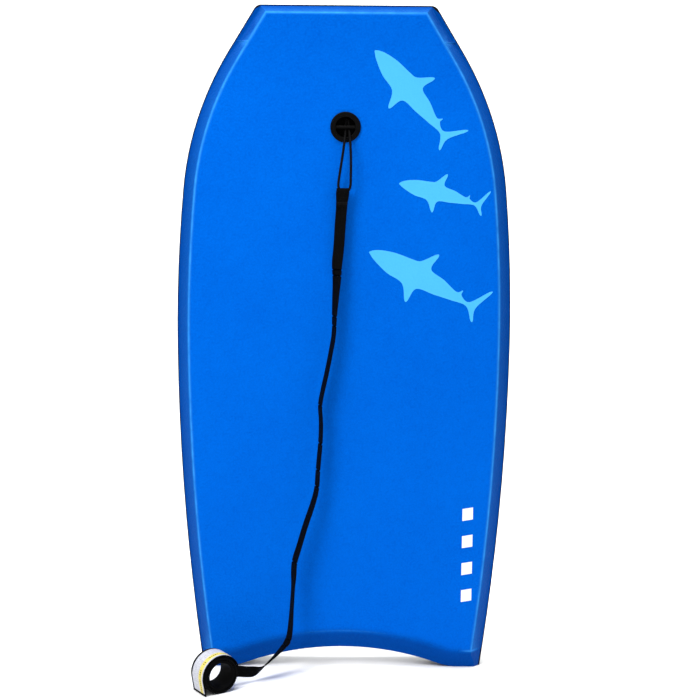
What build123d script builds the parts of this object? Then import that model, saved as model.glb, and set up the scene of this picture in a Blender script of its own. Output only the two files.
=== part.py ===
from build123d import *
import math
import os

# A bodyboard standing on its square tail, nose up, with its leash and wrist cuff in front of it.
# Millimetres. +Z runs from tail to nose, the deck faces -Y and +X is to the right of the deck.
# The origin is the middle of the board's footprint on the ground.

# ---- board: driving dimensions ----
LENGTH = 940.0  # 37 in
THICKNESS = 54.0
DECK_Y = -21.0  # deck face; the slick face is THICKNESS behind it
NOSE_HALF = 122.0  # half width of the square nose, before its corners are rounded
# Side line from the nose corner down past the tail: one straight, then three tangent arcs.
SIDE_POINTS = [(NOSE_HALF, LENGTH), (160, 880), (225, 690), (234.8, 470), (198.2, -20)]
TAIL_HALF = 201.0  # where that line meets the ground
ARCH_HALF = 153.0  # half width of the crescent cut into the tail
ARCH_HEIGHT = 30.0
ARCH_BLEND = 100.0  # radius of the soft turn from the crescent to each tail tip
NOSE_CORNER = 12.0
TAIL_CORNER = 5.0
ROCKER_START = 800.0  # above this height the board curves towards the deck side
ROCKER_RADIUS = 580.0  # of the deck face

# ---- board: layers and rails ----
DECK_SHEET = 6.0
SLICK_SHEET = 1.5
RAIL_WALL = 6.0
APEX_DEPTH = 15.0  # where the upper rail strips meet the lower ones
LIP = 1.0  # how far the lower rail stands out past the upper rail's bevel
ROUNDING_STAND_OFF = 0.05  # of the outline that rounds the corners, so that it cuts nothing else
DECK_LAP = 1.0  # how far the deck sheet laps over the upper rail strips
SIDE_BEVEL = 16.0  # across and deep
NOSE_BEVEL = 10.0  # across; as deep as at the sides
TAIL_BEVEL = 26.0
TAIL_BEVEL_DEPTH = 8.0
BOTTOM_BEVEL = 14.0
NOSE_SEAM = 891.0  # the nose rails wrap the corners down to this height
TAIL_SEAM = 26.0
HULL_DEPTH = THICKNESS - SLICK_SHEET

# ---- leash plug ----
PLUG_Z = 776.0
FLANGE_R = 21.0
FLANGE_THICK = 3.0
CUP_R = 14.0
CUP_WALL = 2.0
CUP_DEPTH = 24.0  # from the flange's outer face
BAR_R = 2.5
BAR_DEPTH = 4.5  # bar's axis below the flange's outer face
STUD_R = 7.0
SLEEVE_R = 11.0
FIT_GAP = 0.3
BASE_THICK = 2.5

# ---- leash ----
STRING_R = 1.75
WEBBING_R = 3.0  # round bar with the section area of 15.5 x 1.8 webbing
WEBBING_WIDTH = 15.5
EYE_BORE_R = 3.0
EYE_R = 4.6
EYE_CENTRE = (-1.25, -35.0, 689.0)
EYE_LENGTH = 8.5
FOLD_TOP = 686.0
FOLD_BOTTOM = 668.0
FOLD_THICK = 4.0
FOLD_X = -3.5
KNOT_R = 4.2
KNOT_CENTRE = (2.4, -14.0, 784.5)
# Down from the knot behind the plug's bar, out over the rim, through the eye and back.
STRING_ROUTE = [
    (0.4, -13.6, 784), (0.2, -14, 772.5), (-1, -33, 759), (-4.2, -35, 735), (-8.2, -35, 709),
    (-10, -35, 695.5), (-6.5, -35, 689), (4, -35, 688.6), (7.5, -35, 695), (7.6, -35.4, 709),
    (7.8, -35, 735), (6.4, -33, 759), (4.6, -14, 772.5), (4.4, -13.6, 784),
]
# From the eye down the deck to the cuff, with the folds it kept from its packing.
WEBBING_ROUTE = [
    (-4.6, -35, 668), (-6.6, -35.4, 642), (-8, -35.4, 612), (-10.8, -35.8, 588), (-10.4, -36, 568),
    (-12.4, -36.2, 540), (-13.8, -36.8, 512), (-13.8, -36.8, 492), (-17.4, -37, 470),
    (-23.4, -37.6, 438), (-31, -38, 404), (-33.4, -38.2, 388), (-31.2, -38.6, 368),
    (-32, -39.4, 336), (-35.6, -40, 298), (-36.4, -41, 272), (-42, -42, 250), (-53.6, -43.4, 216),
    (-62, -45.4, 186), (-68.6, -47, 166), (-69, -49, 144), (-71, -52.4, 108), (-73.8, -56, 74),
    (-76.4, -59.6, 54), (-88, -64, 40), (-106, -72, 29), (-128, -83, 24), (-152.4, -95, 27),
]

# ---- wrist cuff: a wheel lying against the floor in front of the left tail tip ----
CUFF_CENTRE = (-176.0, -110.0, 26.0)
CUFF_TURN = 57.0  # the wheel's axle points this far round from +X towards the deck side
CUFF_WIDTH = 35.0
BAND_R = (17.5, 22.0)
STRAP_R = (22.0, 26.0)
LOOP_DEPTH = 1.0
HOOK_R = (26.3, 27.3)
FLAP_R = (27.3, 29.0)
LABEL_R = (29.0, 29.4)
TAB_R = (26.0, 28.0)
FLAP_START = 50.0  # angles about the axle, from the side nearest the leash, over the top
FLAP_END = 190.0
HOOK_ARC = (112.0, 184.0)
LOOP_ARC = (100.0, 196.0)
LABEL_START = 66.0
TAB_HALF_ARC = 16.0
ROOT_R = (26.0, 29.0)  # end of the flap that is sewn down to the strap
ROOT_ARC = (20.0, 47.6)
FLAP_TAIL = 21.0  # straight loose end, which carries on below the arc
LABEL_TAIL = 17.0
LABEL_WIDTH = 31.0


# ---------------------------------------------------------------- board outline
def side_edges():
    edges = [Line(SIDE_POINTS[0], SIDE_POINTS[1]).edge()]
    for start, end in zip(SIDE_POINTS[1:], SIDE_POINTS[2:]):
        edges.append(TangentArc(start, end, tangent=edges[-1] % 1).edge())
    return edges


def planform(inset, tail_inset=0.0):
    """The board's outline seen square to the deck, drawn in from its outermost line."""
    right = side_edges()
    left = [mirror(edge, about=Plane.YZ).edge() for edge in right]
    nose = Line((-NOSE_HALF, LENGTH), (NOSE_HALF, LENGTH)).edge()
    end = right[-1] @ 1
    bottom = Line((-end.X, end.Y), (end.X, end.Y)).edge()
    face = Face(Wire(right + left + [nose, bottom]))
    if inset:
        face = offset(face, amount=-inset, kind=Kind.INTERSECTION).face()
    ground = Pos(0, tail_inset - LENGTH / 2) * Rectangle(LENGTH, LENGTH)
    return (face - ground - crescent(tail_inset)).face()


def crescent(tail_inset):
    """What the tail's hollow takes out of the outline: an arch with a soft turn at each end."""
    radius = (ARCH_HALF**2 + ARCH_HEIGHT**2) / (2 * ARCH_HEIGHT)
    centre = Vector(0, ARCH_HEIGHT - radius)
    radius = radius + tail_inset
    blend = ARCH_BLEND - tail_inset
    rise = tail_inset + blend - centre.Y
    run = math.sqrt((radius + blend) ** 2 - rise**2)
    meeting = centre + Vector(run, rise).normalized() * radius
    foot = Vector(run, tail_inset)
    corner = Vector(run, -LENGTH)
    top = centre + Vector(0, radius)
    right = [Line(corner, foot).edge(), TangentArc(foot, meeting, tangent=(-1, 0)).edge()]
    left = [mirror(edge, about=Plane.YZ).edge() for edge in right]
    arch = ThreePointArc(meeting, top, Vector(-meeting.X, meeting.Y)).edge()
    base = Line(Vector(-run, -LENGTH), corner).edge()
    return Face(Wire(right + left + [arch, base]))


def rounded_prism(inset, nose_radius, tail_radius):
    """A block that trims the four outer corners of an outline round and touches nothing else."""
    face = planform(inset - ROUNDING_STAND_OFF, -ROUNDING_STAND_OFF)
    nose = [v for v in face.vertices() if v.Y > LENGTH - NOSE_BEVEL]
    tail = [v for v in face.vertices() if v.Y < 1 and abs(v.X) > TAIL_HALF - 2 * LIP]
    return prism(face.fillet_2d(nose_radius, nose).fillet_2d(tail_radius, tail))


def prism(face):
    return extrude(Plane.XZ * face, LENGTH, both=True)


def rocker_point(depth, degrees):
    radius = ROCKER_RADIUS + depth
    angle = math.radians(degrees)
    centre_y = DECK_Y - ROCKER_RADIUS
    return (centre_y + radius * math.cos(angle), ROCKER_START + radius * math.sin(angle))


def layer(top, bottom):
    """Everything between two depths below the deck, following the rocker."""
    low = -50.0
    turn = 20.0
    top_y = DECK_Y + top
    bottom_y = DECK_Y + bottom
    lines = [
        Line((top_y, low), (top_y, ROCKER_START)),
        ThreePointArc((top_y, ROCKER_START), rocker_point(top, turn / 2), rocker_point(top, turn)),
        Line(rocker_point(top, turn), rocker_point(bottom, turn)),
        ThreePointArc(
            rocker_point(bottom, turn), rocker_point(bottom, turn / 2), (bottom_y, ROCKER_START)
        ),
        Line((bottom_y, ROCKER_START), (bottom_y, low)),
        Line((bottom_y, low), (top_y, low)),
    ]
    face = Face(Wire([line.edge() for line in lines]))
    return extrude(Plane.YZ * face, LENGTH / 2, both=True)


# ---------------------------------------------------------------- bevels
def skin_faces(solid, depth):
    """The flat and the rockered face of a solid that lie at one depth below the deck."""
    flat = [
        face for face in solid.faces()
        if face.geom_type == GeomType.PLANE
        and abs(face.center().Y - DECK_Y - depth) < 0.01
        and abs(face.normal_at().Y) > 0.99
    ]
    curved = [
        face for face in solid.faces()
        if face.geom_type == GeomType.CYLINDER and abs(face.radius - ROCKER_RADIUS - depth) < 0.01
    ]
    return flat[0], curved[0]


def bevel_sides(solid, depth, size):
    edges = [edge for face in skin_faces(solid, depth) for edge in face.edges()]
    sides = [e for e in edges if abs((e @ 0.5).X) > NOSE_HALF - 10 and (e @ 0.5).Z > 50]
    return solid.chamfer(size, None, sides).solid()


def bevel_nose(solid, depth, along, deep):
    face = skin_faces(solid, depth)[1]
    nose = [edge for edge in face.edges() if (edge @ 0.5).Z > NOSE_SEAM]
    nose = [edge for edge in nose if abs((edge @ 0.5).X) < 1]
    return solid.chamfer(along, deep, nose, face).solid()


def bevel_tail(solid, depth, along, deep):
    face = skin_faces(solid, depth)[0]
    tail = [edge for edge in face.edges() if (edge @ 0.5).Z < 60]
    tail = [edge for edge in tail if abs((edge @ 0.5).X) < TAIL_HALF - RAIL_WALL]
    return solid.chamfer(along, deep, tail, face).solid()


def behind(faces):
    """Everything straight behind a pair of skin faces."""
    first, second = [extrude(face, THICKNESS * 2, dir=(0, 1, 0), both=True) for face in faces]
    return first + second


# ---------------------------------------------------------------- board bodies
def upper_hull():
    hull = (prism(planform(LIP)) & layer(0, HULL_DEPTH)).solid()
    hull = bevel_sides(hull, 0, SIDE_BEVEL)
    hull = bevel_nose(hull, 0, NOSE_BEVEL, SIDE_BEVEL)
    return bevel_tail(hull, 0, TAIL_BEVEL, TAIL_BEVEL_DEPTH)


def lower_hull():
    hull = (prism(planform(0)) & layer(0, HULL_DEPTH)).solid()
    hull = bevel_sides(hull, HULL_DEPTH, BOTTOM_BEVEL)
    return bevel_nose(hull, HULL_DEPTH, BOTTOM_BEVEL, BOTTOM_BEVEL)


def core_blank():
    core = prism(planform(LIP + RAIL_WALL, RAIL_WALL)) & layer(DECK_SHEET, HULL_DEPTH)
    core = core.solid()
    side = SIDE_BEVEL - RAIL_WALL + DECK_LAP
    nose = NOSE_BEVEL - RAIL_WALL + DECK_LAP
    tail = TAIL_BEVEL - RAIL_WALL + DECK_LAP
    core = bevel_sides(core, DECK_SHEET, side)
    core = bevel_nose(core, DECK_SHEET, nose, nose * SIDE_BEVEL / NOSE_BEVEL)
    core = bevel_tail(core, DECK_SHEET, tail, tail * TAIL_BEVEL_DEPTH / TAIL_BEVEL)
    core = bevel_sides(core, HULL_DEPTH, BOTTOM_BEVEL)
    return bevel_nose(core, HULL_DEPTH, BOTTOM_BEVEL, BOTTOM_BEVEL)


def along_y(radius, start_depth, end_depth):
    """A plug-centred cylinder between two depths below the deck."""
    centre = Pos(0, DECK_Y + (start_depth + end_depth) / 2, PLUG_Z)
    return centre * Rot(90, 0, 0) * Cylinder(radius, end_depth - start_depth)


def cut_at_seams(band, name):
    """Split a rail band into its nose, tail, left and right strips."""
    width = 2 * LENGTH
    nose_zone = Pos(0, 0, NOSE_SEAM + LENGTH / 2) * Box(width, width, LENGTH)
    tail_zone = Pos(0, 0, TAIL_SEAM - LENGTH / 2) * Box(width, width, LENGTH)
    arch_zone = Pos(0, 0, LENGTH / 8) * Box(2 * ARCH_HALF + 30, width, LENGTH / 4)
    tail_zone = tail_zone + arch_zone
    sides = band - nose_zone - tail_zone
    left_zone = Pos(-LENGTH / 2, 0, LENGTH / 2) * Box(LENGTH, width, 2 * LENGTH)
    return {
        f"nose_rail_{name}": band & nose_zone,
        f"tail_rail_{name}": band & tail_zone,
        f"side_rail_{name}_left": sides & left_zone,
        f"side_rail_{name}_right": sides - left_zone,
    }


def board_parts():
    upper = upper_hull()
    lower = lower_hull()
    core = core_blank()
    deck = behind(skin_faces(upper, 0)) & layer(0, DECK_SHEET)
    slick = behind(skin_faces(lower, HULL_DEPTH)) & layer(HULL_DEPTH, THICKNESS)
    upper_outline = rounded_prism(LIP, NOSE_CORNER - LIP, TAIL_CORNER - LIP)
    lower_outline = rounded_prism(0, NOSE_CORNER, TAIL_CORNER)
    upper_band = (upper & layer(0, APEX_DEPTH) & upper_outline) - core - deck
    lower_band = (lower & layer(APEX_DEPTH, HULL_DEPTH) & lower_outline) - core

    cup_hole = along_y(CUP_R + CUP_WALL + FIT_GAP, -FLANGE_THICK, CUP_DEPTH - 1 + FIT_GAP)
    sleeve_hole = along_y(SLEEVE_R + FIT_GAP, 0, THICKNESS + 1)
    parts = {
        "foam_core": core - cup_hole - sleeve_hole,
        "deck_sheet": deck - cup_hole,
        "slick_bottom": slick - sleeve_hole,
    }
    parts.update(cut_at_seams(upper_band, "upper"))
    parts.update(cut_at_seams(lower_band, "lower"))
    return parts


# ---------------------------------------------------------------- leash plug
def leash_plug():
    cup_bottom = CUP_DEPTH - FLANGE_THICK
    flange = along_y(FLANGE_R, -FLANGE_THICK, 0)
    rim = flange.edges().filter_by(GeomType.CIRCLE).sort_by(Axis.Y)[0]
    flange = fillet(rim, FLANGE_THICK / 2)
    body = flange + along_y(CUP_R + CUP_WALL, 0, cup_bottom + CUP_WALL)
    body = body - along_y(CUP_R, -FLANGE_THICK - 1, cup_bottom)
    mouth = [
        edge for edge in body.edges().filter_by(GeomType.CIRCLE)
        if abs(edge.radius - CUP_R) < 0.01 and abs(edge.center().Y - DECK_Y + FLANGE_THICK) < 0.01
    ]
    body = fillet(mouth, 1)
    bar_place = Pos(0, DECK_Y - FLANGE_THICK + BAR_DEPTH, PLUG_Z)
    bar = bar_place * Rot(0, 90, 0) * Cylinder(BAR_R, 2 * CUP_R + CUP_WALL)
    stud = along_y(STUD_R, cup_bottom + CUP_WALL, THICKNESS - 4)
    return body + bar + stud


def leash_plug_base():
    sleeve_top = CUP_DEPTH + 2
    flange = along_y(FLANGE_R, THICKNESS, THICKNESS + BASE_THICK)
    rim = flange.edges().filter_by(GeomType.CIRCLE).sort_by(Axis.Y)[-1]
    flange = fillet(rim, BASE_THICK / 2)
    sleeve = along_y(SLEEVE_R, sleeve_top, THICKNESS)
    bore = along_y(STUD_R + 0.1, sleeve_top - 1, THICKNESS - 3)
    slot_place = Pos(0, DECK_Y + THICKNESS + BASE_THICK, PLUG_Z)
    return flange + sleeve - bore - slot_place * Box(FLANGE_R, 2.4, 2.4)


# ---------------------------------------------------------------- leash
def cord_tube(route, radius, name):
    """A round bar along straight runs joined by tangent arcs as large as the runs allow."""
    points = [Vector(*point) for point in route]
    runs = [b - a for a, b in zip(points, points[1:])]
    turns = [a.get_angle(b) for a, b in zip(runs, runs[1:])]
    radii = [
        0.45 * min(a.length, b.length) / math.tan(math.radians(turn / 2))
        for a, b, turn in zip(runs, runs[1:], turns)
    ]
    path = FilletPolyline(*points, radius=radii)
    section = Plane(origin=path @ 0, z_dir=path % 0) * Circle(radius)
    tube = sweep(section, path=path)
    expected = math.pi * radius**2 * path.length
    print(f"{name}: length {path.length:.1f}, volume {tube.volume:.0f} of {expected:.0f}")
    print("  radii " + ", ".join(f"{value:.0f}" for value in radii))
    print("  turns " + ", ".join(f"{value:.0f}" for value in turns))
    print("  runs " + ", ".join(f"{run.length:.0f}" for run in runs))
    return tube


def leash_eye():
    """The webbing's end, folded round the string and sewn down on itself."""
    loop = Pos(*EYE_CENTRE) * Rot(0, 90, 0) * Cylinder(EYE_R, EYE_LENGTH)
    fold_height = FOLD_TOP - FOLD_BOTTOM
    fold_place = Pos(FOLD_X, EYE_CENTRE[1], FOLD_BOTTOM + fold_height / 2)
    fold = fold_place * Box(WEBBING_WIDTH, FOLD_THICK, fold_height)
    bore = Pos(*EYE_CENTRE) * Rot(0, 90, 0) * Cylinder(EYE_BORE_R, 2 * EYE_LENGTH)
    return loop + fold - bore


def string_knot():
    return Pos(*KNOT_CENTRE) * Sphere(KNOT_R)


# ---------------------------------------------------------------- cuff
def cuff_plane():
    """Local X points from the axle towards the leash, local Y up and local Z along the axle."""
    turn = math.radians(CUFF_TURN)
    axle = (math.cos(turn), -math.sin(turn), 0)
    towards_leash = (math.sin(turn), math.cos(turn), 0)
    return Plane(origin=CUFF_CENTRE, x_dir=towards_leash, z_dir=axle)


def polar(radius, degrees):
    angle = math.radians(degrees)
    return Vector(radius * math.cos(angle), radius * math.sin(angle))


def wheel(radii, width):
    face = Circle(radii[1]) - Circle(radii[0])
    return extrude(cuff_plane() * face, width / 2, both=True)


def wheel_arc(radii, start, end, width, tail=0.0):
    """Part of a wheel, with a straight tail that carries on from its end."""
    inner, outer = radii
    middle = (start + end) / 2
    run_on = polar(tail, end + 90)
    lines = [
        ThreePointArc(polar(outer, start), polar(outer, middle), polar(outer, end)),
        Line(polar(inner, start), polar(outer, start)),
        ThreePointArc(polar(inner, start), polar(inner, middle), polar(inner, end)),
        Line(polar(inner, end) + run_on, polar(outer, end) + run_on),
    ]
    if tail:
        lines.append(Line(polar(inner, end), polar(inner, end) + run_on))
        lines.append(Line(polar(outer, end), polar(outer, end) + run_on))
    face = Face(Wire([line.edge() for line in lines]))
    return extrude(cuff_plane() * face, width / 2, both=True)


def cuff_parts():
    loop_radii = (STRAP_R[1] - LOOP_DEPTH, STRAP_R[1])
    loop_tape = wheel_arc(loop_radii, *LOOP_ARC, CUFF_WIDTH)
    root = wheel_arc(ROOT_R, *ROOT_ARC, CUFF_WIDTH)
    return {
        "cuff_band": wheel(BAND_R, CUFF_WIDTH),
        "cuff_strap": wheel(STRAP_R, CUFF_WIDTH) - loop_tape + root,
        "cuff_loop_tape": loop_tape,
        "cuff_hook_tape": wheel_arc(HOOK_R, *HOOK_ARC, CUFF_WIDTH),
        "cuff_flap": wheel_arc(FLAP_R, FLAP_START, FLAP_END, CUFF_WIDTH, FLAP_TAIL),
        "cuff_label": wheel_arc(LABEL_R, LABEL_START, FLAP_END, LABEL_WIDTH, LABEL_TAIL),
        "leash_end_tab": wheel_arc(TAB_R, -TAB_HALF_ARC, TAB_HALF_ARC, CUFF_WIDTH),
    }


def leash_parts():
    return {
        "leash_string": cord_tube(STRING_ROUTE, STRING_R, "string"),
        "string_knot": string_knot(),
        "leash_eye": leash_eye(),
        "leash_webbing": cord_tube(WEBBING_ROUTE, WEBBING_R, "webbing"),
    }


def main():
    os.makedirs("parts", exist_ok=True)
    parts = board_parts()
    parts["leash_plug"] = leash_plug()
    parts["leash_plug_base"] = leash_plug_base()
    parts.update(leash_parts())
    parts.update(cuff_parts())
    for name, shape in parts.items():
        export_step(shape, f"parts/{name}.step")
    hinge = cuff_plane() * Pos(*polar(sum(FLAP_R) / 2, FLAP_START))
    print("flap hinge at", hinge.position)


main()
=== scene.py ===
import math

import bmesh
import bpy
from mathutils import Matrix, Vector


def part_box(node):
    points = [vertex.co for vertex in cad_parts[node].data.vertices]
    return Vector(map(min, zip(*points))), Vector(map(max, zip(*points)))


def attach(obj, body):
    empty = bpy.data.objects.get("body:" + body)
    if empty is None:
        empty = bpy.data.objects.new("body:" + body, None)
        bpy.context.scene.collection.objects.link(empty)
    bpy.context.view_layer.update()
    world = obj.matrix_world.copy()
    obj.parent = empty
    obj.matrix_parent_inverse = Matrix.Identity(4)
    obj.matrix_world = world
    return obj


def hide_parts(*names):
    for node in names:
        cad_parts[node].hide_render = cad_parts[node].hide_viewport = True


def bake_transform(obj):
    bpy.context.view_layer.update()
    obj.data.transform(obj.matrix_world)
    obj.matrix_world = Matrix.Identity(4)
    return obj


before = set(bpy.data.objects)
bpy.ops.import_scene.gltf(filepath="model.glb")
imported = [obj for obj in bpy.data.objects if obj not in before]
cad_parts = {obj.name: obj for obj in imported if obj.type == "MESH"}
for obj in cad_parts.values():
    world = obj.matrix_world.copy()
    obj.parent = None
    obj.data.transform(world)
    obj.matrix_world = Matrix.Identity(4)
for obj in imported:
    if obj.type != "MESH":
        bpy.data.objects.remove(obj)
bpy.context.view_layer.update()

MM = 0.001

# ---- camera ----
CAMERA_PLACE = Vector((-0.0154, -2.2, 0.80))
CAMERA_PITCH = math.radians(8.71)
CAMERA_YAW = math.radians(0.63)
CAMERA_ROLL = math.radians(0.456)
CAMERA_LENS = 80.74

# ---- board ----
DECK_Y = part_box("deck_sheet")[1].y - 6 * MM  # the flat part of the deck
ROCKER_START = 0.800
ROCKER_RADIUS = 0.580
PLUG_CENTRE = Vector((0, 0, 0.776))
# Half of the outline, from the nose's corner down to just under the ground, as (x, z) in mm.
SIDE_POINTS = [(122, 940), (160, 880), (225, 690), (234.8, 470), (198.2, -20)]
LOWER_RAILS = (
    "side_rail_lower_left", "side_rail_lower_right", "nose_rail_lower", "tail_rail_lower",
)
LIP_SEEN = 1.3 * MM  # how much of the lower rails shows past the upper ones
RIM_REACH = 12 * MM  # the furthest that a rail's rim lies inside the outline
RIM_FROM_RIDGE = 7 * MM  # the nearest that a rail's rim comes to the ridge
RIM_STAND_OFF = 0.35 * MM  # of the upper rails' rim in front of the lower rails' ledge
FRONT_FACING = -0.45  # a face's normal Y is under this on the deck and the bevels
GLINT_REACH = 2.6 * MM  # half width of the painted highlight along the ridge
ARC_STEPS = 20  # straight runs in each arc of the outline
FLAT_ENOUGH = math.radians(0.6)  # faces that meet at less than this are one face
WELD = 1e-6

# ---- leash ----
STRING_DIAMETER = 0.0035
WEBBING_WIDTH = 0.0155
WEBBING_THICK = 0.0018
# Down from the knot behind the plug's bar, out over the rim, through the eye and back.
STRING_ROUTE = [
    (0.4, -13.6, 784), (0.2, -14, 772.5), (-1, -33, 759), (-4.2, -35, 735), (-8.2, -35, 709),
    (-10, -35, 695.5), (-6.5, -35, 689), (4, -35, 688.6), (7.5, -35, 695), (7.6, -35.4, 709),
    (7.8, -35, 735), (6.4, -33, 759), (4.6, -14, 772.5), (4.4, -13.6, 784),
]
WEBBING_ROUTE = [
    (-4.6, -35, 668), (-6.6, -35.4, 642), (-8, -35.4, 612), (-10.8, -35.8, 588), (-10.4, -36, 568),
    (-12.4, -36.2, 540), (-13.8, -36.8, 512), (-13.8, -36.8, 492), (-17.4, -37, 470),
    (-23.4, -37.6, 438), (-31, -38, 404), (-33.4, -38.2, 388), (-31.2, -38.6, 368),
    (-32, -39.4, 336), (-35.6, -40, 298), (-36.4, -41, 272), (-42, -42, 250), (-53.6, -43.4, 216),
    (-62, -45.4, 186), (-68.6, -47, 166), (-69, -49, 144), (-71, -52.4, 108), (-73.2, -56.4, 72),
    (-75.2, -58.8, 57), (-80, -60.6, 48.5), (-92, -65, 36.5), (-104, -70, 25.5), (-113.5, -74.5, 18),
    (-123, -79.5, 15.5), (-134, -86, 17.5), (-143, -91, 20), (-152.4, -95, 23),
]
# How far the webbing is turned about its own line, in degrees, against its height or,
# past the last fold, its place along X: 0 shows its face to the front, 90 its edge.
WEBBING_TWIST = [
    (0.668, 5), (0.640, 12), (0.595, 18), (0.575, 38), (0.555, 52), (0.530, 62), (0.505, 71),
    (0.400, 72), (0.300, 70), (0.172, 63), (0.150, 62), (0.130, 73), (0.100, 72), (0.074, 65),
    (0.052, 60), (0.042, 68), (0.030, 78), (0.022, 80),
]

# ---- cuff ----
CUFF_CENTRE = Vector((-0.176, -0.110, 0.026))
CUFF_TURN = math.radians(57)
CUFF_AXLE = Vector((math.cos(CUFF_TURN), -math.sin(CUFF_TURN), 0))
CUFF_OUT = Vector((math.sin(CUFF_TURN), math.cos(CUFF_TURN), 0))
CUFF_UP = Vector((0, 0, 1))
CUFF_WIDTH = 0.035
FLAP_END = 190.0
ROOT_START = 20.0
STRIP_STEP = 4.0  # degrees between the sections of a strip round the wheel


# ---------------------------------------------------------------- small tools
def to_metres(route):
    return [Vector(point) * MM for point in route]


def add_object(name, data, body="board"):
    made = bpy.data.objects.new(name, data)
    bpy.context.scene.collection.objects.link(made)
    if body:
        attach(made, body)
    return made


def smooth(mesh, angle=40):
    for face in mesh.polygons:
        face.use_smooth = True
    mesh.set_sharp_from_angle(angle=math.radians(angle))


def face_outwards(mesh):
    work = bmesh.new()
    work.from_mesh(mesh)
    bmesh.ops.recalc_face_normals(work, faces=work.faces)
    work.to_mesh(mesh)
    work.free()


def loft(name, rows, body="board", caps=True, uvs=None):
    """A skin through rows of points; uvs gives (along, across) in metres for each row and column."""
    mesh = bpy.data.meshes.new(name)
    columns = len(rows[0])
    points = [point for row in rows for point in row]
    faces = []
    for i in range(len(rows) - 1):
        for j in range(columns):
            k = (j + 1) % columns
            a, b = i * columns, (i + 1) * columns
            faces.append((a + j, a + k, b + k, b + j))
    if caps:
        faces.append(tuple(reversed(range(columns))))
        faces.append(tuple((len(rows) - 1) * columns + j for j in range(columns)))
    mesh.from_pydata(points, [], faces)
    if uvs:
        layer = mesh.uv_layers.new(name="UVMap")
        for face in mesh.polygons:
            for loop in face.loop_indices:
                index = mesh.loops[loop].vertex_index
                layer.data[loop].uv = uvs(index // columns, index % columns)
    face_outwards(mesh)
    smooth(mesh)
    return add_object(name, mesh, body)


def nurbs_curve(name, points, radius=0.0):
    data = bpy.data.curves.new(name, "CURVE")
    data.dimensions = "3D"
    data.resolution_u = 10
    spline = data.splines.new("NURBS")
    spline.points.add(len(points) - 1)
    for target, point in zip(spline.points, points):
        target.co = (*point, 1)
        target.radius = radius
    spline.order_u = 3
    spline.use_endpoint_u = True
    data.bevel_depth = 1.0 if radius else 0.0
    data.bevel_resolution = 5
    data.use_fill_caps = True
    return data


def line_of(points):
    """The smooth line that a NURBS spline with these control points follows."""
    data = nurbs_curve("line", points)
    holder = bpy.data.objects.new("line", data)
    bpy.context.scene.collection.objects.link(holder)
    mesh = bpy.data.meshes.new_from_object(holder)
    line = [vertex.co.copy() for vertex in mesh.vertices]
    bpy.data.objects.remove(holder)
    bpy.data.meshes.remove(mesh)
    return line


def lengths_along(line):
    total = [0.0]
    for a, b in zip(line, line[1:]):
        total.append(total[-1] + (b - a).length)
    return total


def between(table, value):
    """Straight-line reading of a table of (place, amount), in falling or rising order."""
    table = sorted(table)
    if value <= table[0][0]:
        return table[0][1]
    for (a, low), (b, high) in zip(table, table[1:]):
        if value <= b:
            return low + (high - low) * (value - a) / (b - a)
    return table[-1][1]


def rounded_rectangle(width, thick, corner, steps=3):
    """Points round a flat bar's section as (across, through), counted from one corner."""
    points = []
    for quarter in range(4):
        sign_x = 1 if quarter in (0, 3) else -1
        sign_y = 1 if quarter in (0, 1) else -1
        centre = (sign_x * (width / 2 - corner), sign_y * (thick / 2 - corner))
        for step in range(steps + 1):
            angle = math.pi / 2 * (quarter + step / steps)
            points.append(
                (centre[0] + corner * math.cos(angle), centre[1] + corner * math.sin(angle))
            )
    return points


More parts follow.
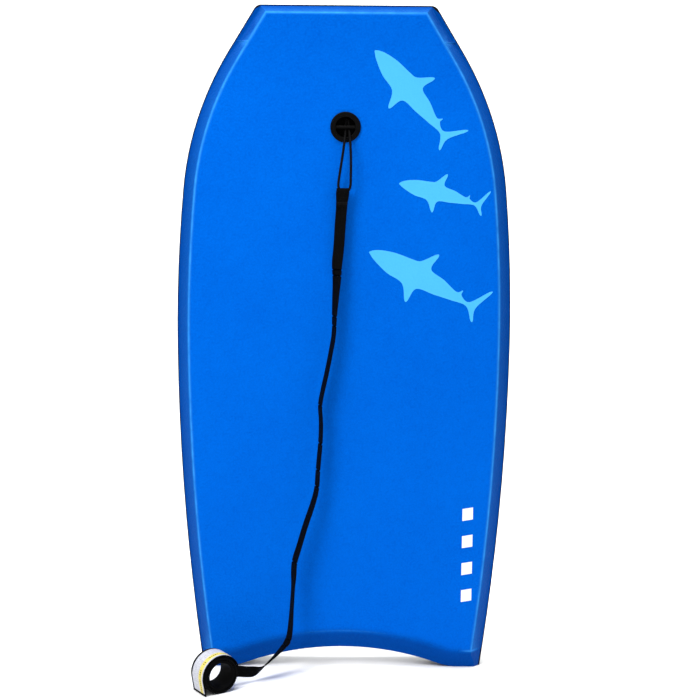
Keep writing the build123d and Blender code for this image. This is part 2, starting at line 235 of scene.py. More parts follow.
# ---------------------------------------------------------------- materials
class Surface:
    """A material under construction: short calls for the nodes that the pieces share."""

    def __init__(self, name, roughness, **fixed):
        self.material = bpy.data.materials.new(name)
        self.material.use_nodes = True
        self.nodes = self.material.node_tree.nodes
        self.links = self.material.node_tree.links
        self.shader = self.nodes["Principled BSDF"]
        self.shader.inputs["Roughness"].default_value = roughness
        for socket, value in fixed.items():
            self.shader.inputs[socket.replace("_", " ")].default_value = value
        self.coordinates = self.nodes.new("ShaderNodeTexCoord")
        self.heights = []

    def plug(self, socket, value):
        if isinstance(value, bpy.types.NodeSocket):
            self.links.new(value, socket)
        else:
            socket.default_value = value

    def node(self, kind, inputs=(), **settings):
        made = self.nodes.new(kind)
        for setting, value in settings.items():
            setattr(made, setting, value)
        for name, value in dict(inputs).items():
            self.plug(made.inputs[name], value)
        return made

    def place(self, source="Object", scale=(1, 1, 1)):
        inputs = {"Vector": self.coordinates.outputs[source], "Scale": scale}
        return self.node("ShaderNodeMapping", inputs).outputs["Vector"]

    def noise(self, scale, detail=3, source="Object", stretch=(1, 1, 1), roughness=0.55):
        inputs = {
            "Vector": self.place(source, stretch),
            "Scale": scale,
            "Detail": detail,
            "Roughness": roughness,
        }
        return self.node("ShaderNodeTexNoise", inputs).outputs["Fac"]

    def cells(self, scale, source="Object", stretch=(1, 1, 1), randomness=1.0):
        inputs = {"Vector": self.place(source, stretch), "Scale": scale, "Randomness": randomness}
        made = self.node("ShaderNodeTexVoronoi", inputs, feature="SMOOTH_F1")
        return made.outputs["Distance"]

    def waves(self, scale, direction, source="UV", distortion=0.0, profile="SIN"):
        inputs = {"Vector": self.place(source), "Scale": scale, "Distortion": distortion}
        made = self.node(
            "ShaderNodeTexWave", inputs, bands_direction=direction, wave_profile=profile
        )
        return made.outputs["Fac"]

    def math(self, operation, a, b):
        made = self.nodes.new("ShaderNodeMath")
        made.operation = operation
        self.plug(made.inputs[0], a)
        self.plug(made.inputs[1], b)
        return made.outputs[0]

    def span(self, value, low, high, new_low, new_high):
        inputs = {
            "Value": value, "From Min": low, "From Max": high, "To Min": new_low, "To Max": new_high,
        }
        return self.node("ShaderNodeMapRange", inputs).outputs["Result"]

    def mix(self, factor, first, second):
        made = self.node("ShaderNodeMix", data_type="RGBA")
        self.plug(made.inputs["Factor"], factor)
        self.plug(made.inputs["A"], first)
        self.plug(made.inputs["B"], second)
        return made.outputs["Result"]

    def axis(self, name, source="Object"):
        split = self.node("ShaderNodeSeparateXYZ", {"Vector": self.coordinates.outputs[source]})
        return split.outputs[name]

    def colour(self, value):
        self.plug(self.shader.inputs["Base Color"], value)

    def rough(self, value):
        self.plug(self.shader.inputs["Roughness"], value)

    def relief(self, height, distance, strength=1.0):
        """Adds one layer of bump, the height in metres."""
        inputs = {"Height": height, "Distance": distance, "Strength": strength}
        if self.heights:
            inputs["Normal"] = self.heights[-1]
        made = self.node("ShaderNodeBump", inputs).outputs["Normal"]
        self.heights.append(made)
        self.plug(self.shader.inputs["Normal"], made)


def rgb(red, green, blue):
    return (red, green, blue, 1.0)


def foam_material(name, light, dark, pebble=420, roughness=0.5, depth=0.00022, shine=0.12):
    """Foam skin: fine pebbles pressed into it, slow waves in its tone and a soft sheen."""
    surface = Surface(name, roughness, Specular_IOR_Level=shine)
    slow = surface.noise(7, detail=2)
    fine = surface.noise(900, detail=2)
    pebbles = surface.cells(pebble)
    tone = surface.math("MULTIPLY", slow, 0.7)
    tone = surface.math("ADD", tone, surface.span(pebbles, 0.1, 0.8, 0.0, 0.3))
    surface.colour(surface.mix(tone, light, dark))
    surface.rough(surface.span(fine, 0.3, 0.7, roughness - 0.06, roughness + 0.08))
    surface.relief(pebbles, depth, 0.8)
    surface.relief(fine, 0.00005, 0.5)
    surface.relief(surface.noise(30, detail=3), 0.0009, 0.35)
    return surface.material


def deck_material():
    """The blue skin of deck and upper rails, with painted shade darkening the bevels and a painted
    highlight, a paler line, along the ridge."""
    surface = Surface("deck_foam_skin", 0.48, Specular_IOR_Level=0.05)
    surface.shader.inputs["Specular Tint"].default_value = (0.05, 0.45, 1.0, 1)
    bevel = surface.node("ShaderNodeAttribute", attribute_name="bevel_share").outputs["Fac"]
    ridge = surface.node("ShaderNodeAttribute", attribute_name="ridge_share").outputs["Fac"]
    slow = surface.noise(6, detail=3)
    blotch = surface.noise(55, detail=3)
    fine = surface.noise(900, detail=2)
    pebbles = surface.cells(400)
    tone = surface.math("MULTIPLY", slow, 0.55)
    tone = surface.math("ADD", tone, surface.span(pebbles, 0.1, 0.8, -0.05, 0.42))
    tone = surface.math("ADD", tone, surface.span(blotch, 0.3, 0.7, -0.06, 0.06))
    flat = surface.mix(tone, rgb(0.0, 0.128, 0.645), rgb(0.0, 0.080, 0.485))
    # painted shade: the bevels get darker blues than the flat deck, standing in for the lesser light
    # on faces turned aside
    bevel_shade = surface.mix(tone, rgb(0.0, 0.060, 0.335), rgb(0.0, 0.043, 0.25))
    body = surface.mix(bevel, flat, bevel_shade)
    # painted highlight: a paler, blotchy line along the ridge, standing in for light caught on its
    # rounding
    glint = surface.math("MULTIPLY", ridge, surface.span(blotch, 0.25, 0.75, 0.35, 0.75))
    surface.colour(surface.mix(glint, body, rgb(0.045, 0.36, 0.92)))
    surface.rough(surface.span(fine, 0.3, 0.7, 0.40, 0.54))
    surface.relief(pebbles, 0.0005, 0.9)
    surface.relief(fine, 0.00006, 0.6)
    surface.relief(surface.noise(30, detail=3), 0.0010, 0.35)
    return surface.material


def slick_material():
    surface = Surface("slick_sheet", 0.3, Specular_IOR_Level=0.25)
    grain = surface.noise(60, detail=4, stretch=(1, 1, 0.05))
    surface.colour(surface.mix(grain, rgb(0.003, 0.004, 0.005), rgb(0.008, 0.009, 0.011)))
    surface.rough(surface.span(grain, 0.3, 0.7, 0.24, 0.38))
    surface.relief(grain, 0.00008, 0.35)
    surface.relief(surface.noise(12, detail=2), 0.0012, 0.3)
    return surface.material


def moulded_material():
    surface = Surface("moulded_plastic", 0.42, Specular_IOR_Level=0.05)
    fine = surface.noise(1400, detail=2)
    broad = surface.noise(90, detail=3)
    surface.colour(surface.mix(broad, rgb(0.0008, 0.0008, 0.0009), rgb(0.003, 0.003, 0.0032)))
    surface.rough(surface.span(broad, 0.3, 0.7, 0.34, 0.5))
    surface.relief(fine, 0.00004, 0.6)
    return surface.material


def webbing_material(name, shade=0.0012, pitch=0.0011):
    """Flat weave: ribs across and a herringbone of yarns, from the piece's own along and across."""
    surface = Surface(name, 0.62, Specular_IOR_Level=0.035)
    along = surface.waves(0.5 / pitch, "X", distortion=0.4)
    across = surface.waves(0.7 / pitch, "Y", distortion=0.4)
    fuzz = surface.noise(2500, detail=2)
    weave = surface.math("MULTIPLY", along, across)
    sunk = rgb(shade * 0.5, shade * 0.5, shade * 0.6)
    raised = rgb(shade * 2.2, shade * 2.2, shade * 2.5)
    surface.colour(surface.mix(weave, sunk, raised))
    surface.rough(surface.span(fuzz, 0.3, 0.7, 0.55, 0.72))
    surface.relief(along, 0.00018, 0.7)
    surface.relief(across, 0.00012, 0.6)
    surface.relief(fuzz, 0.00004, 0.5)
    return surface.material


def cord_material():
    surface = Surface("braided_cord", 0.55, Specular_IOR_Level=0.07)
    left = surface.waves(420, "DIAGONAL", source="Object")
    fuzz = surface.noise(3000, detail=2)
    surface.colour(surface.mix(left, rgb(0.0008, 0.0008, 0.001), rgb(0.003, 0.003, 0.0034)))
    surface.rough(surface.span(fuzz, 0.3, 0.7, 0.48, 0.65))
    surface.relief(left, 0.0002, 0.7)
    surface.relief(fuzz, 0.00004, 0.4)
    return surface.material


def neoprene_material():
    surface = Surface("knit_neoprene", 0.7, Specular_IOR_Level=0.035)
    knit = surface.cells(1500, stretch=(1, 1, 0.6), randomness=0.35)
    slow = surface.noise(60, detail=2)
    surface.colour(surface.mix(slow, rgb(0.0008, 0.0008, 0.001), rgb(0.0025, 0.0025, 0.003)))
    surface.rough(surface.span(knit, 0.0, 0.7, 0.62, 0.78))
    surface.relief(knit, 0.00015, 0.7)
    surface.relief(slow, 0.0006, 0.3)
    return surface.material


def pile_material(name, scale, depth):
    """Hook or loop tape: a dense field of short hairs or hooks."""
    surface = Surface(name, 0.85, Specular_IOR_Level=0.06, Sheen_Weight=0.01)
    pile = surface.cells(scale, randomness=0.8)
    hairs = surface.noise(scale * 2, detail=3)
    surface.colour(surface.mix(hairs, rgb(0.001, 0.001, 0.0012), rgb(0.004, 0.004, 0.0045)))
    surface.rough(surface.span(hairs, 0.3, 0.7, 0.78, 0.95))
    surface.relief(pile, depth, 0.9)
    return surface.material


DASHES_PER_METRE = 330


def label_material():
    """Pale woven label with a yellow band and rows of plain dashes along its near side."""
    surface = Surface("printed_label", 0.5, Specular_IOR_Level=0.2)
    across = surface.axis("Y", "UV")
    along = surface.axis("X", "UV")
    band = surface.math(
        "MULTIPLY",
        surface.math("GREATER_THAN", across, 0.0175),
        surface.math("LESS_THAN", across, 0.0262),
    )
    step = surface.math("FRACT", surface.math("MULTIPLY", along, DASHES_PER_METRE), 0.0)
    dash = surface.math("LESS_THAN", step, 0.6)
    row = surface.math("COMPARE", across, 0.0218)
    row.node.inputs[2].default_value = 0.0013
    patch = surface.math("GREATER_THAN", surface.noise(150, source="UV", detail=1), 0.45)
    dashes = surface.math("MULTIPLY", surface.math("MULTIPLY", dash, row), patch)
    rows = surface.math("FRACT", surface.math("MULTIPLY", across, DASHES_PER_METRE), 0.0)
    faint_row = surface.math("COMPARE", rows, 0.5)
    faint_row.node.inputs[2].default_value = 0.22
    faint_patch = surface.math("GREATER_THAN", surface.noise(210, source="UV", detail=1), 0.5)
    faint = surface.math("MULTIPLY", surface.math("MULTIPLY", dash, faint_row), faint_patch)
    mottle = surface.noise(300, source="UV", detail=3)
    paper = surface.mix(mottle, rgb(0.30, 0.30, 0.38), rgb(0.68, 0.70, 0.72))
    paper = surface.mix(surface.math("MULTIPLY", faint, 0.5), paper, rgb(0.20, 0.20, 0.26))
    tint = surface.mix(mottle, rgb(0.56, 0.44, 0.07), rgb(0.78, 0.68, 0.20))
    printed = surface.mix(band, paper, tint)
    surface.colour(surface.mix(dashes, printed, rgb(0.05, 0.045, 0.01)))
    surface.rough(surface.span(mottle, 0.3, 0.7, 0.42, 0.6))
    surface.relief(surface.waves(1400, "X"), 0.00004, 0.5)
    return surface.material


def thread_material():
    surface = Surface("sewing_thread", 0.6, Specular_IOR_Level=0.1)
    twist = surface.noise(5000, detail=2)
    surface.colour(surface.mix(twist, rgb(0.004, 0.004, 0.005), rgb(0.014, 0.014, 0.016)))
    surface.relief(twist, 0.00005, 0.6)
    return surface.material


MATERIALS = {
    "deck": deck_material(),
    "rail": foam_material(
        "rail_foam_skin", rgb(0.003, 0.004, 0.006), rgb(0.0015, 0.002, 0.003), roughness=0.55
    ),
    "core": foam_material(
        "core_foam", rgb(0.85, 0.85, 0.83), rgb(0.70, 0.70, 0.68), pebble=260, roughness=0.8
    ),
    "print": foam_material(
        "deck_print", rgb(0.070, 0.455, 0.93), rgb(0.053, 0.40, 0.84), roughness=0.42, depth=0.00015
    ),
    "mark": foam_material(
        "deck_mark", rgb(0.92, 0.94, 0.96), rgb(0.80, 0.84, 0.88), roughness=0.42, depth=0.00015
    ),
    "slick": slick_material(),
    "plastic": moulded_material(),
    "webbing": webbing_material("leash_webbing_weave"),
    "strap": webbing_material("cuff_strap_weave", shade=0.0010, pitch=0.0014),
    "cord": cord_material(),
    "neoprene": neoprene_material(),
    "hooks": pile_material("hook_tape_pile", 900, 0.0005),
    "loops": pile_material("loop_tape_pile", 1400, 0.0004),
    "label": label_material(),
    "thread": thread_material(),
}


def dress(piece, material):
    piece.data.materials.clear()
    piece.data.materials.append(MATERIALS[material])
    return piece


# ---------------------------------------------------------------- board
def ridge_line():
    """The deck's outline where it turns over into the bevels, as pairs of (x, z) points."""
    work = bmesh.new()
    work.from_mesh(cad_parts["deck_sheet"].data)
    bmesh.ops.remove_doubles(work, verts=work.verts, dist=1e-6)
    front = {face for face in work.faces if face.normal.y < -0.9}
    runs = []
    for edge in work.edges:
        sides = [face in front for face in edge.link_faces]
        start, end = (vertex.co for vertex in edge.verts)
        near_plug = (start - PLUG_CENTRE).xz.length < 0.03
        if any(sides) and not all(sides) and not near_plug:
            runs.append((Vector((start.x, start.z)), Vector((end.x, end.z))))
    work.free()
    return runs


def outer_line():
    """The board's own outline: the nose, then a straight and three tangent arcs down each side."""
    side = [Vector(point) * MM for point in SIDE_POINTS]
    line = [side[0], side[1]]
    heading = (side[1] - side[0]).normalized()
    for start, end in zip(side[1:], side[2:]):
        chord = end - start
        across = Vector((-heading.y, heading.x))
        radius = chord.length_squared / (2 * chord.dot(across))
        centre = start + across * radius
        turn = 2 * math.atan2(chord.dot(across), chord.dot(heading))
        for step in range(1, ARC_STEPS + 1):
            line.append(centre + Matrix.Rotation(turn * step / ARC_STEPS, 2) @ (start - centre))
        heading = Matrix.Rotation(turn, 2) @ heading
    mirrored = [Vector((-point.x, point.y)) for point in line]
    whole = mirrored[::-1] + line
    return list(zip(whole, whole[1:]))


def from_ridge(place, runs):
    """Distance in the deck's plane from a point to the nearest run, and that nearest point."""
    best, nearest = 10.0, None
    for start, end in runs:
        along = end - start
        share = max(0.0, min(1.0, (place - start).dot(along) / along.length_squared))
        point = start + along * share
        distance = (place - point).length
        if distance < best:
            best, nearest = distance, point
    return best, nearest


def ridge_form(point):
    """How steep the bevel is beside this place on the ridge, and how far its rounding reaches."""
    nose = between([(0.915, 0.0), (0.930, 1.0)], point.y)
    tail = between([(0.050, 1.0), (0.085, 0.0)], point.y)
    tail *= between([(0.170, 1.0), (0.186, 0.0)], abs(point.x))
    side = 1 - nose - tail
    slope = side * 1.0 + nose * 1.35 + tail * 0.31
    reach = (side * 4.5 + nose * 3.2 + tail * 9.0) * MM
    return slope, reach


def reach_out(vertex, outline):
    """Brings a point on an upper rail's outer edge near the board's outline, along the rocker."""
    place = Vector((vertex.co.x, vertex.co.z))
    distance, nearest = from_ridge(place, outline)
    if LIP_SEEN < distance < RIM_REACH:
        moved = (nearest - place) * (1 - LIP_SEEN / distance)
        tilt = math.asin(max(0.0, place.y - ROCKER_START) / ROCKER_RADIUS)
        vertex.co += Vector((moved.x, -moved.y * math.tan(tilt) - RIM_STAND_OFF, moved.y))


def opened(node):
    """The CAD piece's mesh, ready to edit, with its flat faces whole."""
    work = bmesh.new()
    work.from_mesh(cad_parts[node].data)
    bmesh.ops.remove_doubles(work, verts=work.verts, dist=WELD)
    bmesh.ops.dissolve_limit(work, angle_limit=FLAT_ENOUGH, verts=work.verts, edges=work.edges)
    return work


def finished(work, node, material, edges, width, segments):
    """Wears these edges round and puts the piece in the place of the CAD one."""
    bmesh.ops.bevel(
        work, geom=edges, offset=width, segments=segments, profile=0.5, affect="EDGES",
        clamp_overlap=True,
    )
    bmesh.ops.triangulate(work, faces=[face for face in work.faces if len(face.verts) > 4])
    mesh = bpy.data.meshes.new(node + "_skin")
    work.to_mesh(mesh)
    work.free()
    smooth(mesh, 30)
    piece = add_object(node + "_skin", mesh)
    weighted = piece.modifiers.new("normals", "WEIGHTED_NORMAL")
    weighted.keep_sharp = True
    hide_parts(node)
    return dress(piece, material)


def inset_front(work, steps):
    """Adds rings of points inside the deck and bevel faces, and gives back all their points."""
    front = [face for face in work.faces if face.normal.y < FRONT_FACING]
    for step in steps:
        bmesh.ops.inset_region(
            work, faces=front, thickness=step * MM, use_even_offset=False, use_boundary=True
        )
    work.normal_update()
    marked = set()
    for face in work.faces:
        if face.normal.y < FRONT_FACING:
            marked.update(face.verts)
    return marked


def round_over(node, runs, steps, edge_width=0.4 * MM):
    """The CAD piece with the ridge between deck and bevel rounded, and its other edges worn."""
    work = opened(node)
    bevel_share = work.verts.layers.float.new("bevel_share")
    ridge_share = work.verts.layers.float.new("ridge_share")
    outline = outer_line()
    marked = inset_front(work, steps)
    rim = {
        vertex for vertex in marked
        if node.startswith(("nose", "side"))
        and any(face.normal.y > 0.3 for face in vertex.link_faces)
    }
    for vertex in work.verts:
        distance, nearest = from_ridge(Vector((vertex.co.x, vertex.co.z)), runs)
        slope, reach = ridge_form(nearest)
        near = max(0.0, 1 - distance / reach)
        if vertex in marked:
            vertex.co.y += slope * reach * near ** 2 / 4
        if distance > RIM_FROM_RIDGE and vertex in rim:
            reach_out(vertex, outline)
        # painted shade mask: 1 over the bevels, fading to 0 on the flat deck across the ridge's
        # rounding
        vertex[bevel_share] = 0.5 * near ** 2 if node == "deck_sheet" else 1 - 0.5 * near ** 2
        # painted highlight mask along the ridge, scaled by the bevel's steepness so the low tail bevel
        # gets none
        glint_near = max(0.0, 1 - distance / GLINT_REACH)
        vertex[ridge_share] = glint_near * between([(0.31, 0), (0.8, 1)], slope)
    rims = [
        edge for edge in work.edges
        if len(edge.link_faces) == 2 and edge.calc_face_angle(0) > 0.6
        and from_ridge(Vector((edge.verts[0].co.x, edge.verts[0].co.z)), runs)[0] > 1 * MM
    ]
    return finished(work, node, "deck", rims, edge_width, 2)


def worn(node, material, width):
    """The CAD piece with its hard edges worn round."""
    work = opened(node)
    hard = [e for e in work.edges if len(e.link_faces) == 2 and e.calc_face_angle(0) > 0.3]
    return finished(work, node, material, hard, width, 3)


def make_board():
    runs = ridge_line()
    round_over("deck_sheet", runs, (1.0, 1.2, 1.5, 2.0, 3.0))
    for node in ("nose_rail_upper", "side_rail_upper_left", "side_rail_upper_right"):
        round_over(node, runs, (0.9, 1.1, 1.3))
    round_over("tail_rail_upper", runs, (1.0, 1.4, 2.0, 2.5))
    for node in LOWER_RAILS:
        worn(node, "rail", 0.7 * MM)
    worn("slick_bottom", "slick", 0.5 * MM)
    dress(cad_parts["foam_core"], "core")


# ---------------------------------------------------------------- print on the deck
# A plain shark seen from the side, straight, nose at the origin and one unit long.
SHARK = [
    (0.0, 0.0), (0.06, 0.045), (0.18, 0.085), (0.32, 0.105), (0.39, 0.125), (0.47, 0.225),
    (0.495, 0.220), (0.49, 0.105), (0.62, 0.080), (0.75, 0.045), (0.79, 0.078), (0.80, 0.038),
    (0.88, 0.022), (0.98, 0.165), (1.0, 0.160), (0.945, 0.0), (0.975, -0.095), (0.955, -0.100),
    (0.87, -0.018), (0.74, -0.035), (0.60, -0.060), (0.46, -0.085), (0.445, -0.200),
    (0.42, -0.205), (0.34, -0.100), (0.20, -0.085), (0.08, -0.050), (0.02, -0.022),
]
# Where each printed shark is: its nose on the deck in mm, its length in mm and its slope.
SHARK_PLACES = {
    "print_shark_upper": ((40, 880), 165, -50),
    "print_shark_middle": ((75, 700), 125, -15),
    "print_shark_lower": ((35, 605), 178, -28),
}
# The mark is four equal slanted bars, evenly spaced.
MARK_X = 178.5
BAR_HEIGHTS = (100, 140, 180, 220)  # of each bar's lowest corner
BAR_HALF_WIDTH, BAR_TALL, BAR_SLANT = 7.5, 20, 2.5
FILM = 0.30 * MM


def deck_height(z):
    """The deck's Y at this height, flat and then curling forward towards the nose."""
    rise = max(0.0, z - ROCKER_START)
    return DECK_Y - ROCKER_RADIUS + math.sqrt(ROCKER_RADIUS ** 2 - rise ** 2)


def rounded_loop(points, steps=5):
    """A closed smooth line through the points."""
    loop = []
    count = len(points)
    for i in range(count):
        p0, p1, p2, p3 = (Vector(points[(i + k) % count]) for k in (-1, 0, 1, 2))
        for step in range(steps):
            t = step / steps
            loop.append(
                0.5 * (2 * p1 + (p2 - p0) * t + (2 * p0 - 5 * p1 + 4 * p2 - p3) * t ** 2
                       + (3 * p1 - p0 - 3 * p2 + p3) * t ** 3)
            )
    return loop


def film(name, loops, material):
    """Thin print laid over the deck inside closed outlines given in millimetres."""
    work = bmesh.new()
    for loop in loops:
        corners = [work.verts.new((point.x * MM, 0, point.y * MM)) for point in loop]
        work.faces.new(corners)
    work.normal_update()
    bmesh.ops.triangulate(work, faces=work.faces[:])
    height = ROCKER_START
    while height < 0.92:
        everything = work.verts[:] + work.edges[:] + work.faces[:]
        bmesh.ops.bisect_plane(
            work, geom=everything, plane_co=(0, 0, height), plane_no=(0, 0, 1), dist=1e-6
        )
        height += 0.006
    bmesh.ops.recalc_face_normals(work, faces=work.faces[:])
    if sum(face.normal.y for face in work.faces) > 0:
        bmesh.ops.reverse_faces(work, faces=work.faces[:])
    back = bmesh.ops.extrude_face_region(work, geom=work.faces[:])
    moved = [item for item in back["geom"] if isinstance(item, bmesh.types.BMVert)]
    raised = set(moved)
    for vertex in work.verts:
        vertex.co.y = deck_height(vertex.co.z) + (-FILM if vertex in raised else 0.2 * MM)
    bmesh.ops.recalc_face_normals(work, faces=work.faces[:])
    mesh = bpy.data.meshes.new(name)
    work.to_mesh(mesh)
    work.free()
    smooth(mesh, 30)
    return dress(add_object(name, mesh), material)


def bar_outline(low):
    """A slanted bar of the mark, with its lowest corner at the given height."""
    left, right, top = MARK_X - BAR_HALF_WIDTH, MARK_X + BAR_HALF_WIDTH, low + BAR_TALL
    return [
        Vector((left, low)), Vector((right, low + BAR_SLANT)),
        Vector((right, top)), Vector((left, top - BAR_SLANT)),
    ]


def make_print():
    for name, (nose, length, slope) in SHARK_PLACES.items():
        turn = Matrix.Rotation(math.radians(slope), 2)
        outline = [Vector(nose) + turn @ Vector(point) * length for point in SHARK]
        film(name, [rounded_loop(outline)], "print")
    film("print_mark", [bar_outline(low) for low in BAR_HEIGHTS], "mark")


# ---------------------------------------------------------------- plug and leash
def make_plug():
    dress(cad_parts["leash_plug"], "plastic")
    dress(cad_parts["leash_plug_base"], "plastic")


def make_string():
    points = to_metres(STRING_ROUTE)
    data = nurbs_curve("leash_string_cord", points, STRING_DIAMETER / 2)
    piece = add_object("leash_string_cord", data)
    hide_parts("leash_string")
    dress(piece, "cord")
    knot = make_knot()


def make_knot():
    """The tails of the loop, tied in a small trefoil behind the bar."""
    low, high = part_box("string_knot")
    centre = (low + high) / 2
    reach = (high.x - low.x) / 2
    cord = STRING_DIAMETER / 2 * 0.8
    size = (reach - cord) / 3
    turns = [2 * math.pi * step / 48 for step in range(48)]
    line = [
        centre + size * Vector((
            math.sin(t) + 2 * math.sin(2 * t), -math.sin(3 * t), math.cos(t) - 2 * math.cos(2 * t),
        ))
        for t in turns
    ]
    data = bpy.data.curves.new("string_knot_tied", "CURVE")
    data.dimensions = "3D"
    spline = data.splines.new("POLY")
    spline.points.add(len(line) - 1)
    for target, point in zip(spline.points, line):
        target.co = (*point, 1)
        target.radius = cord
    spline.use_cyclic_u = True
    data.bevel_depth = 1.0
    data.bevel_resolution = 4
    piece = add_object("string_knot_tied", data)
    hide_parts("string_knot")
    return dress(piece, "cord")


def make_webbing():
    points = to_metres(WEBBING_ROUTE)
    line = line_of(points)
    total = lengths_along(line)
    section = rounded_rectangle(WEBBING_WIDTH, WEBBING_THICK, 0.0007)
    rows = []
    for index, point in enumerate(line):
        before = line[max(index - 1, 0)]
        after = line[min(index + 1, len(line) - 1)]
        tangent = (after - before).normalized()
        width = webbing_width_direction(point, tangent)
        face = tangent.cross(width)
        rows.append([point + width * x + face * y for x, y in section])
    piece = loft(
        "leash_webbing_strap", rows,
        uvs=lambda i, j: (total[i], section[j][0]),
    )
    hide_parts("leash_webbing")
    dress(piece, "webbing")
    return piece, line


def webbing_width_direction(point, tangent):
    """Across the webbing: turned about its line on the deck, upright where it nears the cuff."""
    angle = math.radians(between(WEBBING_TWIST, point.z))
    flat = Vector((1, 0, 0)) - tangent * tangent.x
    flat.normalize()
    hanging = flat * math.cos(angle) + tangent.cross(flat) * math.sin(angle)
    upright = Vector((0, 0, 1)) - tangent * tangent.z
    upright.normalize()
    share = between([(0.118, 0.0), (0.138, 0.35), (0.152, 0.9)], -point.x)
    if hanging.dot(upright) < 0:
        hanging = -hanging
    mixed = hanging * (1 - share) + upright * share
    mixed -= tangent * mixed.dot(tangent)
    return mixed.normalized()


# ---------------------------------------------------------------- cuff
def cuff_point(radius, degrees, across, run_on=0.0):
    """A place on the cuff's wheel; run_on goes on straight from that angle."""
    angle = math.radians(degrees)
    out = CUFF_OUT * math.cos(angle) + CUFF_UP * math.sin(angle)
    forward = CUFF_UP * math.cos(angle) - CUFF_OUT * math.sin(angle)
    return CUFF_CENTRE + out * radius + forward * run_on + CUFF_AXLE * across


def cuff_strip(
    name, body, radii, start, end, width, tail=0.0, corner=0.0005, shift=0.0
):
    """A strip of fabric laid round the wheel, with a straight loose end if tail is given."""
    middle = sum(radii) / 2
    section = rounded_rectangle(width, radii[1] - radii[0], corner)
    count = round((end - start) / STRIP_STEP)
    stations = [(start + (end - start) * k / count, 0.0) for k in range(count + 1)]
    if tail:
        stations += [(end, tail * k / 6) for k in range(1, 7)]
    total = [math.radians(angle - start) * middle + extra for angle, extra in stations]
    rows = [
        [cuff_point(middle + through, angle, across + shift, extra) for across, through in section]
        for angle, extra in stations
    ]
    return loft(
        name, rows, body,
        uvs=lambda i, j: (total[i], section[j][0] + width / 2),
    )


def cuff_ring(name, radii, width, corner, crown):
    """A full ring of the cuff with rounded edges and a swollen face."""
    middle = sum(radii) / 2
    thick = radii[1] - radii[0]
    section = rounded_rectangle(width, thick, corner, 5)
    count = 96
    rows = []
    for k in range(count):
        angle = 360 * k / count
        swell = crown * (0.5 + 0.5 * math.sin(7 * math.radians(angle)))
        rows.append([
            cuff_point(
                middle + through + swell * math.copysign(1, through) * (1 - (2 * across / width) ** 2),
                angle, across,
            )
            for across, through in section
        ])
    rows.append(rows[0])
    piece = loft(
        name, rows, caps=False,
        uvs=lambda i, j: (2 * math.pi * middle * i / count, section[j][0] + width / 2),
    )
    weld = bmesh.new()
    weld.from_mesh(piece.data)
    bmesh.ops.remove_doubles(weld, verts=weld.verts, dist=1e-6)
    weld.to_mesh(piece.data)
    weld.free()
    return piece


def make_cuff():
    band = dress(cuff_ring("cuff_band_pad", (0.0175, 0.022), CUFF_WIDTH, 0.0018, 0.0003), "neoprene")
    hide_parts("cuff_band")
    strap = dress(cuff_ring("cuff_strap_ring", (0.0221, 0.0260), CUFF_WIDTH, 0.0012, 0.0), "strap")
    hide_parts("cuff_strap")
    loop = cuff_strip("cuff_loop_pile", "board", (0.0250, 0.02605), 100, 196, CUFF_WIDTH - 0.001)
    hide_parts("cuff_loop_tape")
    dress(loop, "loops")
    hook = cuff_strip("cuff_hook_pile", "cuff_flap", (0.0263, 0.0273), 112, 184, CUFF_WIDTH - 0.003)
    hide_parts("cuff_hook_tape")
    dress(hook, "hooks")
    flap = cuff_strip(
        "cuff_flap_strap", None, (0.0273, 0.0290), ROOT_START, FLAP_END, CUFF_WIDTH, 0.021
    )
    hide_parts("cuff_flap")
    dress(flap, "strap")
    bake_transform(flap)
    label = cuff_strip(
        "cuff_label_tape", "cuff_flap", (0.0290, 0.0294), 56, FLAP_END, 0.029, 0.017,
        corner=0.00015, shift=0.0022,
    )
    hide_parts("cuff_label")
    dress(label, "label")
    tab = cuff_strip("leash_end_tab_sewn", "board", (0.0262, 0.0280), -16, 16, CUFF_WIDTH - 0.002)
    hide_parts("leash_end_tab")
    dress(tab, "webbing")
    edge = CUFF_WIDTH / 2 - 0.0022
    seams = [
        cuff_seam("cuff_flap_seam", "cuff_flap", 0.0290, [(58, 188)], (-edge,)),
        cuff_seam("cuff_strap_seam", "board", 0.0260, [(200, 254), (286, 340)], (-edge, edge)),
        cuff_seam("leash_end_tab_seam", "board", 0.0280, [(-13, 13)], (-0.012, -0.009, 0.009, 0.012)),
    ]
    return [band, strap, loop, hook, flap, label, tab, *seams]


def cuff_seam(name, body, radius, arcs, rows):
    """Stitches in rows round the wheel, one row at each place across it."""
    tacks = []
    for start, end in arcs:
        count = round(math.radians(end - start) * radius / (3.0 * MM))
        for across in rows:
            for k in range(count + 1):
                angle = start + (end - start) * k / count
                middle = cuff_point(radius, angle, across)
                tacks.append((middle, cuff_point(radius, angle + 1, across) - middle))
    return stitching(name, tacks, 2.1 * MM, 0.28 * MM, body)


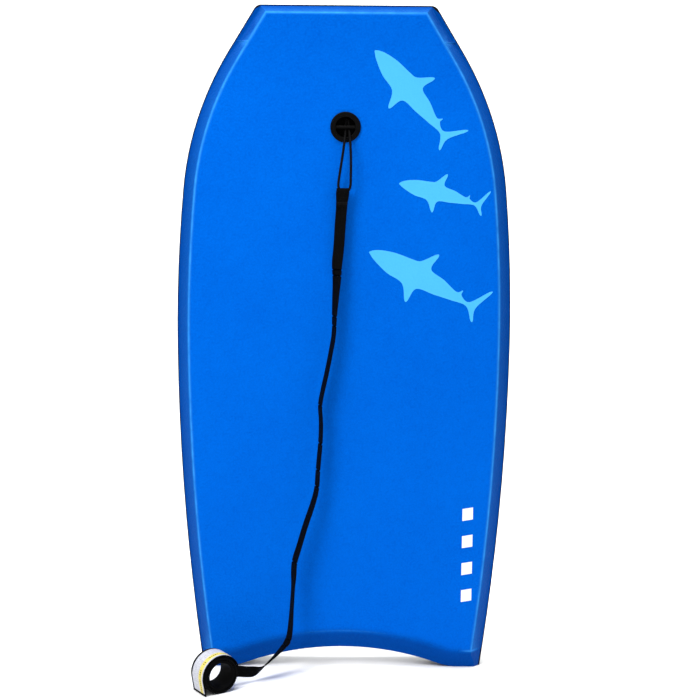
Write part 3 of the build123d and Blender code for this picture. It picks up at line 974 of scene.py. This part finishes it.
def make_eye():
    """The webbing's end folded over the cord loop and sewn down, wider where it is pressed flat."""
    low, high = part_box("leash_eye")
    middle_x, middle_y = -3.2 * MM, (low.y + high.y) / 2
    crown, foot, gap = 0.6895, low.z - 1.5 * MM, 1.0 * MM
    side = []
    for step in range(9):
        share = step / 8
        side.append((middle_y - gap - (share ** 3) * 2.0 * MM, foot + (crown - foot) * share))
    for step in range(1, 8):
        angle = math.pi * step / 8
        side.append((middle_y - 3.0 * MM * math.cos(angle), crown + 3.0 * MM * math.sin(angle)))
    for step in range(9):
        share = 1 - step / 8
        side.append((middle_y + gap + (share ** 3) * 2.0 * MM, foot + (crown - foot) * share))
    line = [Vector((0, y, z)) for y, z in side]
    total = lengths_along(line)
    rows = []
    for index, point in enumerate(line):
        tangent = (line[min(index + 1, len(line) - 1)] - line[max(index - 1, 0)]).normalized()
        face = tangent.cross(Vector((1, 0, 0)))
        share = (point.z - foot) / (crown - foot)
        width = between([(0.0, 15.6), (0.35, 16.2), (0.8, 18.4), (1.15, 17.6)], share) * MM
        lean = middle_x - 1.6 * MM * (1 - share)
        section = rounded_rectangle(width, 1.5 * MM, 0.6 * MM)
        rows.append([
            Vector((lean, point.y, point.z)) + Vector((1, 0, 0)) * x + face * y for x, y in section
        ])
    piece = loft("leash_eye_fold", rows, uvs=lambda i, j: (total[i], section[j][0]))
    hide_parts("leash_eye")
    dress(piece, "webbing")
    tacks = []
    for height in (0.6715, 0.6735, 0.6800, 0.6820):
        for k in range(7):
            across = middle_x - 0.9 * MM + (k - 3) * 2.1 * MM
            tacks.append((Vector((across, middle_y - gap - 0.9 * MM, height)), Vector((1, 0, 0.25))))
    sewing = stitching("leash_eye_stitches", tacks, 1.7 * MM, 0.32 * MM)
    return [piece, sewing]


def stitching(name, tacks, length, radius, body="board"):
    """Short rounded stitches, each given by its middle and its direction."""
    points, faces = [], []
    for middle, direction in tacks:
        along = direction.normalized()
        side = along.cross(Vector((0, 0, 1)) if abs(along.z) < 0.8 else Vector((1, 0, 0)))
        side.normalize()
        other = along.cross(side)
        first = len(points)
        for share, thick in ((-0.5, 0.35), (-0.38, 0.9), (0.0, 1.0), (0.38, 0.9), (0.5, 0.35)):
            for k in range(6):
                angle = math.pi / 3 * k
                out = side * math.cos(angle) + other * math.sin(angle)
                points.append(middle + along * (length * share) + out * (radius * thick))
        for ring in range(4):
            for k in range(6):
                a, b = first + ring * 6 + k, first + ring * 6 + (k + 1) % 6
                faces.append((a, b, b + 6, a + 6))
        faces.append(tuple(first + k for k in range(6))[::-1])
        faces.append(tuple(first + 24 + k for k in range(6)))
    mesh = bpy.data.meshes.new(name)
    mesh.from_pydata(points, [], faces)
    face_outwards(mesh)
    smooth(mesh)
    return dress(add_object(name, mesh, body), "thread")


def make_leash():
    make_string()
    webbing, line = make_webbing()
    eye = make_eye()
    cuff = make_cuff()


# ---------------------------------------------------------------- stage
def make_camera():
    forward = Vector((
        math.sin(CAMERA_YAW) * math.cos(CAMERA_PITCH),
        math.cos(CAMERA_YAW) * math.cos(CAMERA_PITCH),
        -math.sin(CAMERA_PITCH),
    ))
    right = forward.cross(Vector((0, 0, 1))).normalized()
    up = right.cross(forward)
    rolled_right = right * math.cos(CAMERA_ROLL) + up * math.sin(CAMERA_ROLL)
    rolled_up = up * math.cos(CAMERA_ROLL) - right * math.sin(CAMERA_ROLL)
    data = bpy.data.cameras.new("camera")
    data.lens = CAMERA_LENS
    data.sensor_width = 36
    camera = bpy.data.objects.new("camera", data)
    bpy.context.scene.collection.objects.link(camera)
    turn = Matrix((rolled_right, rolled_up, -forward)).transposed()
    camera.matrix_world = Matrix.Translation(CAMERA_PLACE) @ turn.to_4x4()
    bpy.context.scene.camera = camera


def make_floor():
    """A pale floor that sweeps up into the backdrop."""
    half, back, bend, top = 7.0, 2.6, 1.0, 6.0
    profile = [(-7.0, 0.0), (-2.0, 0.0), (back - bend, 0.0)]
    for step in range(1, 13):
        angle = math.pi / 2 * step / 12
        profile.append((back - bend + bend * math.sin(angle), bend - bend * math.cos(angle)))
    profile.append((back, top))
    points, faces = [], []
    for y, z in profile:
        points += [(-half, y, z), (half, y, z)]
    for i in range(len(profile) - 1):
        faces.append((2 * i, 2 * i + 1, 2 * i + 3, 2 * i + 2))
    mesh = bpy.data.meshes.new("studio_sweep")
    mesh.from_pydata(points, [], faces)
    smooth(mesh)
    sweep = add_object("studio_sweep", mesh, None)
    surface = Surface("pale_sweep", 0.7, Specular_IOR_Level=0.15)
    tone = surface.noise(3, detail=2)
    surface.colour(surface.mix(tone, rgb(0.90, 0.905, 0.91), rgb(0.92, 0.925, 0.93)))
    sweep.data.materials.append(surface.material)


def area_light(name, place, target, size, power):
    data = bpy.data.lights.new(name, "AREA")
    data.size = size
    data.energy = power
    light = bpy.data.objects.new(name, data)
    bpy.context.scene.collection.objects.link(light)
    light.location = place
    aim = Vector(target) - Vector(place)
    light.rotation_euler = aim.to_track_quat("-Z", "Y").to_euler()


def make_lights():
    area_light("key", (-0.95, -1.2, 1.75), (0, 0, 0.6), 0.7, 24)
    area_light("fill", (2.2, -1.9, 1.0), (0, 0, 0.4), 2.0, 8)
    area_light("top", (0.0, -0.5, 2.8), (0, -0.3, 0.0), 1.2, 50)
    area_light("under_tail", (0.0, 0.6, 0.2), (0, 0.0, 0.02), 0.3, 3.0)
    area_light("backdrop_left", (-1.4, 0.7, 2.4), (-0.3, 2.6, 0.7), 1.0, 40)
    area_light("backdrop_right", (1.4, 0.7, 2.4), (0.3, 2.6, 0.7), 1.0, 40)
    world = bpy.data.worlds.new("studio")
    bpy.context.scene.world = world
    world.use_nodes = True
    backdrop = world.node_tree.nodes["Background"]
    backdrop.inputs["Color"].default_value = (1.0, 1.0, 1.0, 1)
    backdrop.inputs["Strength"].default_value = 0.45


make_camera()
make_leash()
make_plug()
make_board()
make_print()
make_floor()
make_lights()
bpy.context.scene.view_settings.view_transform = "Standard"
